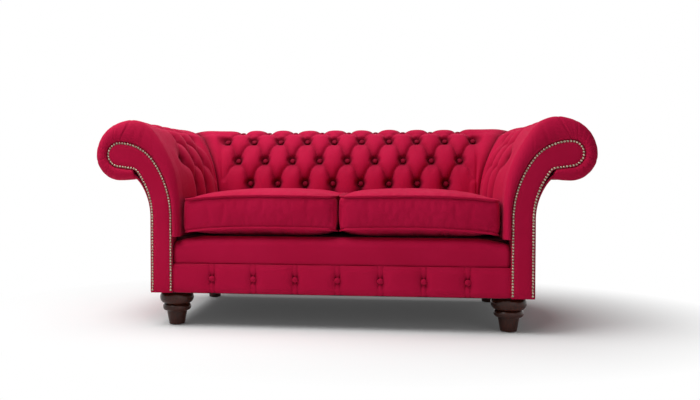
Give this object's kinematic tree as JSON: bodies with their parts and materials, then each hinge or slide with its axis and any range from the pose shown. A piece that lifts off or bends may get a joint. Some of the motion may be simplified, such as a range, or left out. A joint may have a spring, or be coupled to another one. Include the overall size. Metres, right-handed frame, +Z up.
{
  "type": "chesterfield sofa",
  "caption": "Deep-buttoned velvet sofa with arms and back rolled at one height, nailed arm facings, loose piped seat cushions and turned front legs.",
  "frame": {"origin": "on the floor, below the middle of the whole sofa", "axes": "+Z up, +X along the sofa's length towards the viewer's right, -Y towards the front where the sitter's knees are"},
  "size_m": [1.7, 0.87, 0.7263],
  "materials": {
    "velvet": "crimson velvet",
    "nails": "antique, domed",
    "leg_wood": "dark gloss",
    "frame_timber": "raw hardwood",
    "webbing": "woven jute",
    "deck_cloth": "plain lining cloth over felt",
    "dust_cloth": "thin black lining",
    "spring_steel": "plain",
    "glide_plastic": "matt"
  },
  "bodies": {
    "frame": {"back_base_rail": "frame_timber", "back_buttons": "velvet", "back_pad": "velvet", "back_stuffing_rail": "frame_timber", "back_top_rail": "frame_timber", "back_webbing": "webbing", "border_buttons": "velvet", "centre_back_rib": "frame_timber", "centre_seat_brace": "frame_timber", "corner_blocks": "frame_timber", "dust_cover": "dust_cloth", "front_border_pad": "velvet", "front_lip_pad": "velvet", "front_seat_rail": "frame_timber", "left_arm_buttons": "velvet", "left_arm_facing": "velvet", "left_arm_pad": "velvet", "left_arm_top_rail": "frame_timber", "left_arm_webbing": "webbing", "left_back_rib": "frame_timber", "left_corner_post": "frame_timber", "left_facing_nails": "nails", "left_front_arm_post": "frame_timber", "left_front_leg": "leg_wood", "left_outside_arm_panel": "velvet", "left_rear_arm_post": "frame_timber", "left_rear_leg": "leg_wood", "left_seat_rail": "frame_timber", "left_stuffing_rail": "frame_timber", "leg_bolts": "spring_steel", "leg_glides": "glide_plastic", "leg_nuts": "spring_steel", "outside_back_panel": "velvet", "rear_seat_rail": "frame_timber", "right_arm_buttons": "velvet", "right_arm_facing": "velvet", "right_arm_pad": "velvet", "right_arm_top_rail": "frame_timber", "right_arm_webbing": "webbing", "right_back_rib": "frame_timber", "right_corner_post": "frame_timber", "right_facing_nails": "nails", "right_front_arm_post": "frame_timber", "right_front_leg": "leg_wood", "right_outside_arm_panel": "velvet", "right_rear_arm_post": "frame_timber", "right_rear_leg": "leg_wood", "right_seat_rail": "frame_timber", "right_stuffing_rail": "frame_timber", "seat_deck": "deck_cloth", "seat_springs": "spring_steel", "spring_clips": "spring_steel"},
    "left_cushion": {"left_seat_cushion": "velvet", "left_cushion_piping": "velvet"},
    "right_cushion": {"right_seat_cushion": "velvet", "right_cushion_piping": "velvet"}
  },
  "joints": [
    {"name": "left_cushion_lift", "type": "slide", "parent": "frame", "child": "left_cushion", "axis": [0, 0, 1], "range_m": [0, 0.45]},
    {"name": "right_cushion_lift", "type": "slide", "parent": "frame", "child": "right_cushion", "axis": [0, 0, 1], "range_m": [0, 0.45]}
  ]
}
